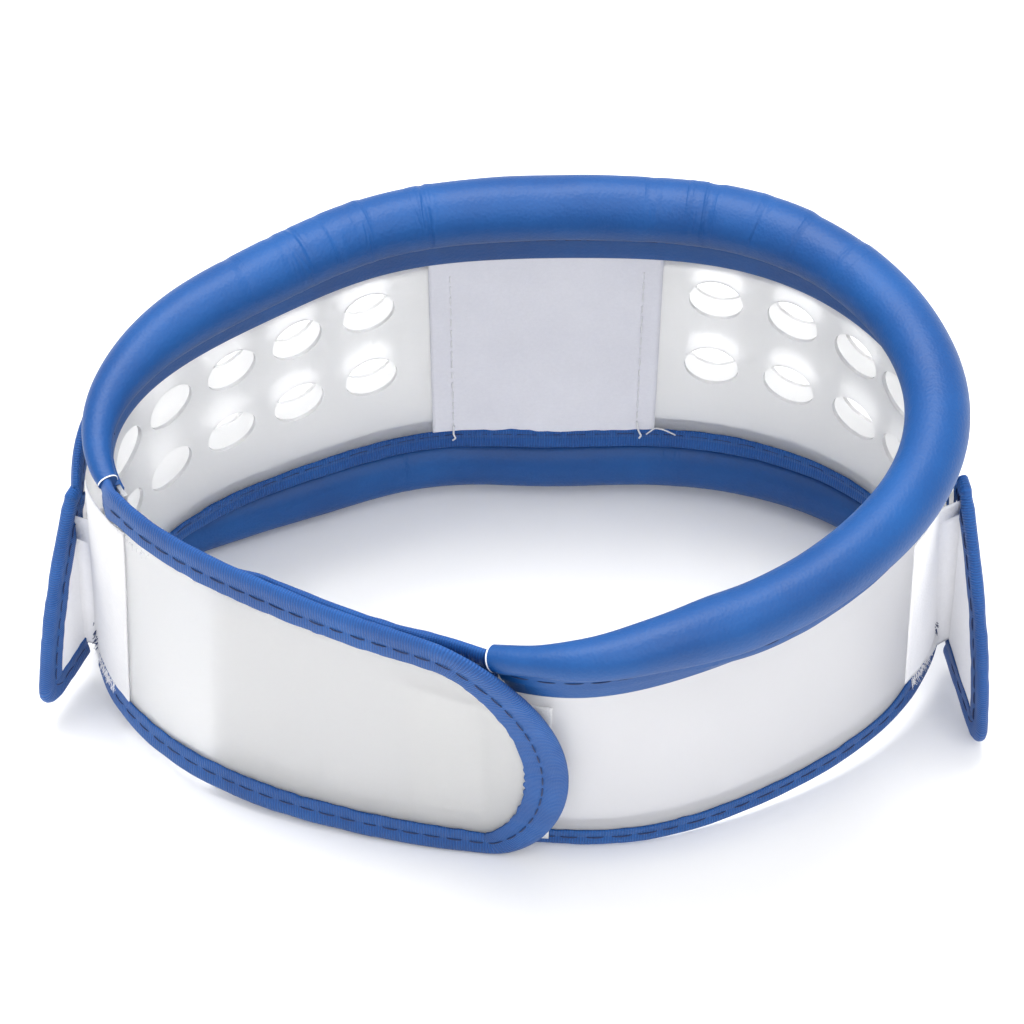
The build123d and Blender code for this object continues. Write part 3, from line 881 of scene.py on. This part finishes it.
route = tab_route()
inward = to_the_right(route)
inward[:12] = inward[12]
inward[-12:] = (0, 1)
STRAP_MIDDLE = 36 * MM
STRAP_INSET = 4.5 * MM
STRAP_PITCH = 4.4 * MM
STRAP_BEND = ("strap", ring_world(190.6, STRAP_MIDDLE, STRAP_OFFSET),
              ring_world(193.6, STRAP_MIDDLE, STRAP_OFFSET))
binding("strap_edge_tape", strap_surface, route, inward, replaced=("strap_tape",), seed=17, bend=STRAP_BEND)
for name, lift, seed in (("outside", SHEET_FACE + TAPE, 12), ("inside", -(SHEET_FACE + TAPE), 13)):
    stitches(f"strap_stitches_{name}", strap_surface, route[8:-4], inward[8:-4] * STRAP_INSET, lift,
             pitch=STRAP_PITCH, seed=seed, bend=STRAP_BEND)

# ---- cloth
CLOTH = 0.3 * MM
CLOTH_FACE = 0.2 * MM


def cloth(name, grid, replaced=(), bend=None, material=WHITE_FABRIC,
          body="collar"):
    """Sheet of cloth from a grid of points, made thick by a Solidify modifier."""
    rows, columns = grid.shape[:2]
    corners = [i * columns + j for i in range(rows - 1) for j in range(columns - 1)]
    faces = [(a, a + 1, a + columns + 1, a + columns) for a in corners]
    obj = new_mesh(name, grid.reshape(-1, 3), faces)
    place(obj, material, replaced, bend, body)
    thick = obj.modifiers.new("thickness", "SOLIDIFY")
    thick.thickness = CLOTH
    thick.offset = 0
    return obj


def ripples(rows, columns, size, seed):
    """Slow waves over a cloth's grid, at (rows, columns)."""
    across = np.stack([wander(columns, 9, size, seed + k) for k in range(4)])
    share = np.linspace(0, 3, rows)
    low = np.minimum(share.astype(int), 2)
    part = smooth(share - low)[:, None]
    return across[low] * (1 - part) + across[low + 1] * part


CLOTH_ROWS = 50
CLOTH_COLUMNS = 60


def ring_cloth(name, span, heights, offset, replaced=(), bend=None, wave=0.06 * MM, seed=50,
               material=WHITE_FABRIC):
    """Cloth over part of the ring; the second of its heights may differ from column to column."""
    angles = np.linspace(*span, CLOTH_COLUMNS)
    rises = np.linspace(heights[0], np.broadcast_to(heights[1], CLOTH_COLUMNS), CLOTH_ROWS)
    lift = offset + ripples(CLOTH_ROWS, CLOTH_COLUMNS, wave, seed)
    grid = ring_world(angles[None], rises, lift)
    return cloth(name, grid, replaced, bend, material=material)


# Each wing's cloth: its angles and offset on the band, and its foot on the fold and the wing
VALLEY = {"left": (184.5, 181.6, 4.6 * MM), "right": (-11.5, -1.4, 1.0 * MM)}
WING_CLOTH_FOOT = {"left": (7.0 * MM, 4.0 * MM), "right": (7.6 * MM, 2.5 * MM)}
FOLD_CLOTH_TOP = 55 * MM
WING_CLOTH_TOP = {"left": 46.5 * MM, "right": 49.0 * MM}
FOLD_TOP_LINE = np.linspace(60.0, 65.5, CLOTH_COLUMNS) * MM
FOLD_COLUMNS = 14
PLATE_COLUMNS = 24
CLOTH_TUCK = 4.4 * MM


def wing_cloth(side_name, wing, root, reach_way, off_way, arc, bend):
    """Fabric from the band's side fold round the valley at the wing's root and over the wing's face."""
    start, end, offset = VALLEY[side_name]
    fold_foot, foot = WING_CLOTH_FOOT[side_name]
    top = WING_CLOTH_TOP[side_name]
    share = np.linspace(0, 1, CLOTH_ROWS)[:, None]
    feet = foot + (fold_foot - foot) * smooth(np.linspace(1.6, 0, FOLD_COLUMNS))[None]
    tops = FOLD_CLOTH_TOP + (top - FOLD_CLOTH_TOP) * smooth(np.linspace(-1, 0.9, FOLD_COLUMNS))[None]
    fold_rises = feet + (tops - feet) * share
    ease = smooth(np.linspace(0, 1, FOLD_COLUMNS) / 0.35)
    fold_angles = np.linspace(start, end, FOLD_COLUMNS)[None]
    fold = ring(fold_angles, fold_rises, SHEET_FACE + (offset - SHEET_FACE) * ease)[0]
    rises = foot + (top - foot) * share[:, 0]
    edge = np.interp(rises, arc[::-1, 1], arc[::-1, 0])
    limit = np.clip(edge - CLOTH_TUCK, -0.4 * MM, None)
    shares = np.linspace(0.04, 1, PLATE_COLUMNS)[None]
    across = limit[:, None] * shares
    lift = wing["seen"] * (SHEET_FACE + CLOTH_FACE + ripples(CLOTH_ROWS, PLATE_COLUMNS, 0.04 * MM, 61))
    plate = (root + across[..., None] * reach_way + rises[:, None, None] * UPWARD
             + lift[..., None] * off_way)
    grid = world(np.concatenate([fold, plate], 1))
    cloth(f"{side_name}_wing_cloth", grid,
          bend=bend, replaced=() if side_name == "left" else ("right_fold_fabric",))


ring_cloth("left_fold_cloth", (181.7, 192.6), (6.5 * MM, FOLD_TOP_LINE), 4.66 * MM,
           ("left_fold_fabric",), STRAP_BEND, seed=71,
           material=FOLD_FABRIC_SHADED)
ring_cloth("back_cloth", BACK_FABRIC, (4.5 * MM, 60.5 * MM), -(SHEET_FACE + CLOTH_FACE),
           ("back_fabric_panel", "back_fabric_thread"), wave=0.09 * MM,
           seed=80, material=BACK_FABRIC_SHADED)
ring_cloth("loop_patch_cloth", (-117.0, -86.0), (2.8 * MM, 57.5 * MM), 1.25 * MM,
           ("loop_patch",), wave=0.05 * MM, seed=85,
           material=HOOK_LOOP)
for number, angle in enumerate(BACK_SEAMS):
    heights = np.linspace(5.5, 59, 60) * MM
    seam = np.stack([np.full(60, angle), heights], -1)
    stitches(f"back_seam_{number}", BAND_SURFACE, seam, np.zeros((60, 2)) + (0.01, 0),
             -(SHEET_FACE + 0.42 * MM), WHITE_THREAD, pitch=3.4 * MM, fill=0.72, width=0.4 * MM,
             seed=31 + number)

HOOK_SPAN = (243.0, 260.0)
HOOK_HEIGHTS = (14 * MM, 56 * MM)
HOOK_OFFSET = STRAP_OFFSET - 0.85 * MM
HOOK_COLUMNS = 40
angles = np.linspace(*HOOK_SPAN, HOOK_COLUMNS)
rises = np.linspace(*HOOK_HEIGHTS, CLOTH_ROWS)
lift = HOOK_OFFSET + ripples(CLOTH_ROWS, HOOK_COLUMNS, 0.05 * MM, 88)
cloth("hook_patch_cloth", ring_world(angles[None], rises[:, None], lift),
      ("hook_patch",), material=HOOK_LOOP, body="strap")


FIBRE_STEPS = 6
FIBRE_SIDES = 4
FIBRE_CURL = 0.22


def fibres(name, roots, ways, long, thick, material, bend=None, seed=90):
    """Short curved hairs: roots and ways are (n, 3), long is the range of their lengths."""
    draw = np.random.default_rng(seed)
    steps = np.linspace(0, 1, FIBRE_STEPS)
    verts, faces = [], []
    for root, way in zip(roots, ways):
        way = unit(way)
        bow = unit(np.cross(way, draw.normal(size=3)))
        reach = draw.uniform(*long)
        curl = FIBRE_CURL * draw.uniform(0.2, 1)
        spine = root + reach * (steps[:, None] * way + curl * (steps ** 2)[:, None] * bow)
        ahead = unit(np.gradient(spine, axis=0))
        side = unit(np.cross(ahead, way + 0.7 * bow + 0.3))
        up = np.cross(side, ahead)
        width = thick * (1 - 0.5 * steps)[:, None, None]
        first = len(verts)
        verts.extend(round_section(spine, width, side, up, FIBRE_SIDES).reshape(-1, 3))
        faces.extend(tube_faces(FIBRE_STEPS, FIBRE_SIDES, first))
        faces.extend(end_caps(FIBRE_STEPS, FIBRE_SIDES, first))
    return place(new_mesh(name, verts, faces), material, bend=bend)


def ring_fuzz(name, span, heights, offsets, count, long, material, bend=None, seed=90, thick=0.06 * MM):
    """Fibres standing off the ring, leaning down and outward."""
    draw = np.random.default_rng(seed)
    angles = draw.uniform(*span, count)
    rises = draw.uniform(*heights, count)
    points, along, outward = ring(angles, rises, draw.uniform(*offsets, count))
    lean = np.array([0, 0, -1.0]) * (0.5 + draw.random((count, 1)))
    ways = 0.35 * outward + draw.normal(size=(count, 1)) * 0.35 * along + lean
    return fibres(name, world(points), ways @ TURN.T, long, thick, material, bend, seed=seed)


ring_fuzz("left_notch_fuzz", (182.0, 189.5), (6.0 * MM, 8.5 * MM), (4.75 * MM, 4.95 * MM), 230,
          (0.7 * MM, 1.9 * MM), WHITE_FABRIC, seed=91)
ring_fuzz("right_notch_fuzz", (-10.5, -1.5), (5.8 * MM, 8.6 * MM), (1.0 * MM, 1.3 * MM), 210,
          (0.6 * MM, 1.8 * MM), WHITE_FABRIC, seed=92)
ring_fuzz("left_notch_thread", (182.0, 184.2), (8.0 * MM, 13.0 * MM), (4.9 * MM, 5.2 * MM), 14,
          (0.7 * MM, 1.6 * MM), NAVY_THREAD, seed=93, thick=0.13 * MM)
ring_fuzz("right_notch_thread", (-2.6, -1.4), (8.0 * MM, 12.0 * MM), (1.1 * MM, 1.3 * MM), 9,
          (0.6 * MM, 1.4 * MM), NAVY_THREAD, seed=94, thick=0.12 * MM)
ring_fuzz("strap_tape_fuzz", (190.8, 197.5), (64.6 * MM, 66.2 * MM), (5.0 * MM, 5.2 * MM), 26,
          (0.4 * MM, 1.3 * MM), WHITE_THREAD, bend=STRAP_BEND, seed=95, thick=0.07 * MM)


THREAD_SIDES = 6


def loose_thread(name, spots, thick):
    """White thread end lying along points in degrees round the ring, height and offset in mm."""
    spots = np.array(spots, float)
    share = np.linspace(0, len(spots) - 1, 5 * len(spots))
    path = np.stack([np.interp(share, np.arange(len(spots)), spots[:, k]) for k in range(3)], -1)
    for _ in range(2):
        path[1:-1] = (path[:-2] + 2 * path[1:-1] + path[2:]) / 4
    line = ring_world(path[:, 0], path[:, 1] * MM, path[:, 2] * MM)
    ahead = unit(np.gradient(line, axis=0))
    side = unit(np.cross(ahead, [0.1, 0.3, 1.0]))
    loop = round_section(line, thick, side, np.cross(side, ahead), THREAD_SIDES)
    faces = tube_faces(len(line), THREAD_SIDES) + end_caps(len(line), THREAD_SIDES)
    return place(new_mesh(name, loop.reshape(-1, 3), faces), WHITE_THREAD)


loose_thread("seam_tail_left",
             [(107.4, 7.5, -1.2), (107.6, 5.2, -1.5), (107.1, 4.2, -1.8), (107.8, 3.4, -1.7)], 0.2 * MM)
loose_thread("seam_tail_right", [(67.0, 8.5, -1.2), (66.6, 6.0, -1.5), (66.0, 4.8, -1.9), (66.4, 3.9, -1.8)],
             0.2 * MM)
loose_thread("thread_end_right", [(65.0, 4.6, -1.3), (63.4, 7.2, -1.7), (61.8, 7.0, -1.8), (59.5, 4.9, -1.4)],
             0.16 * MM)

# ---- wings
WING_SLEEVE = {"left": 3.0 * MM, "right": 3.4 * MM}
WING_INSET = 3.8 * MM
WING_PITCH = 4.6 * MM
WING_TAPE_GAP = 0.12 * MM


def wing_arc(reach, turn_height, bow):
    """Wing's bowed outer edge, from its root's top down to its tip, in reach and height."""
    chord = np.array([reach, turn_height - WING_TOP])
    span = np.linalg.norm(chord)
    radius = (span ** 2 / 4 + bow ** 2) / (2 * bow)
    way = chord / span
    out = np.array([-way[1], way[0]])
    half = np.arcsin(span / 2 / radius)
    turns = half * np.linspace(-1, 1, 60)
    return (np.array([0, WING_TOP]) + way * (span / 2 + radius * np.sin(turns))[:, None]
            + out * (radius * (np.cos(turns) - np.cos(half)))[:, None])


def wing_route(reach, foot, arc, sleeve_reach):
    """Line of the wing's tape: from the second sheet's tape down the arc, round the tip and to the root."""
    turns = np.linspace(0, -np.pi / 2, 24)[1:]
    tip = np.stack([reach - WING_TIP_RADIUS + WING_TIP_RADIUS * np.cos(turns),
                    foot + WING_TIP_RADIUS + WING_TIP_RADIUS * np.sin(turns)], -1)
    back = np.stack([np.linspace(reach - WING_TIP_RADIUS, 0.0, 20)[1:], np.full(19, foot)], -1)
    sleeve = np.array([0, WING_TOP]) + np.linspace(1, 0, 8)[:-1, None] * np.array([-sleeve_reach, 0.35 * MM])
    path = np.concatenate([sleeve, arc, tip, back])
    return spaced(path, 170)


def make_wing(side_name, wing):
    """A wing's tape, stitches and cloth; the cloth runs from the band round the wing's root onto the wing."""
    root = ring(wing["root"], 0.0, wing["offset"] * MM)[0]
    bearing = math.radians(wing["bearing"])
    reach_way = np.array([math.cos(bearing), math.sin(bearing), 0])
    off_way = np.cross(reach_way, UPWARD)

    def wing_surface(spots, off):
        return world(root + spots[..., :1] * reach_way + spots[..., 1:] * UPWARD
                     + np.asarray(off)[..., None] * off_way)

    reach, foot, bow = (wing[k] * MM for k in ("reach", "foot", "bow"))
    arc = wing_arc(reach, foot + WING_TIP_RADIUS, bow)
    route = wing_route(reach, foot, arc, WING_SLEEVE[side_name])
    inward = to_the_right(route)
    hinge = world(root + 30 * MM * UPWARD)
    arm = TURN @ reach_way
    bend = (f"{side_name}_wing", hinge - arm * 0.5 * MM, hinge + arm * 3.5 * MM)
    binding(f"{side_name}_wing_edge_tape", wing_surface, route, inward, lap=WING_LAP,
            replaced=(f"{side_name}_wing_tape",), seed=19, bend=bend, sleeve=WING_TAPE_GAP)
    for face_side, label in ((1, "back"), (-1, "front")):
        stitches(f"{side_name}_wing_stitches_{label}", wing_surface, route[3:], inward[3:] * WING_INSET,
                 face_side * (SHEET_FACE + TAPE + 0.1 * MM), pitch=WING_PITCH, seed=14, bend=bend)
    wing_cloth(side_name, wing, root, reach_way, off_way, arc, bend)


for side_name, wing in WINGS.items():
    make_wing(side_name, wing)

# ---- camera, light, floor
# The camera's elevation and aim are in the band's frame
VIEW_DISTANCE = 1100 * MM
VIEW_ELEVATION = math.radians(53)
LENS = 190.3
FAR = 20
AIM = Vector((-4.04, 7.0, 36.0)) * MM
look = Vector((0, math.cos(VIEW_ELEVATION), -math.sin(VIEW_ELEVATION)))
camera = bpy.data.objects.new("camera", bpy.data.cameras.new("camera"))
bpy.context.scene.collection.objects.link(camera)
camera.data.lens = LENS
camera.location = BAND @ (AIM - look * VIEW_DISTANCE)
camera.rotation_euler = (BAND.to_3x3() @ look).to_track_quat("-Z", "Y").to_euler()
camera.data.clip_end = FAR
bpy.context.scene.camera = camera
bpy.context.scene.view_settings.view_transform = "Standard"


def area_light(name, spot, aim, size, power):
    light = bpy.data.objects.new(name, bpy.data.lights.new(name, "AREA"))
    bpy.context.scene.collection.objects.link(light)
    light.data.shape = "RECTANGLE"
    light.data.size, light.data.size_y = size
    light.data.energy = power
    light.location = spot
    light.rotation_euler = (Vector(aim) - Vector(spot)).to_track_quat("-Z", "Y").to_euler()


area_light("softbox_top", (-0.1, 0.2, 1.0), (0, 0, 0.05), (0.9, 0.5), 11)
area_light("softbox_front", (0.3, -0.9, 1.2), (0, 0, 0.05), (1.2, 0.9), 8)

floor_mesh = bpy.data.meshes.new("floor")
floor_mesh.from_pydata([(-9, -9, 0), (9, -9, 0), (9, 9, 0), (-9, 9, 0)], [], [(0, 1, 2, 3)])
floor = bpy.data.objects.new("floor", floor_mesh)
bpy.context.scene.collection.objects.link(floor)
floor_look = Nodes("floor")
floor_look.set(Base_Color=(0.97, 0.97, 0.97, 1), Roughness=0.9)
floor_mesh.materials.append(floor_look.material)

sky = bpy.data.worlds.new("studio")
sky.use_nodes = True
background = sky.node_tree.nodes["Background"]
background.inputs["Color"].default_value = (1, 1, 1, 1)
background.inputs["Strength"].default_value = 0.88
bpy.context.scene.world = sky
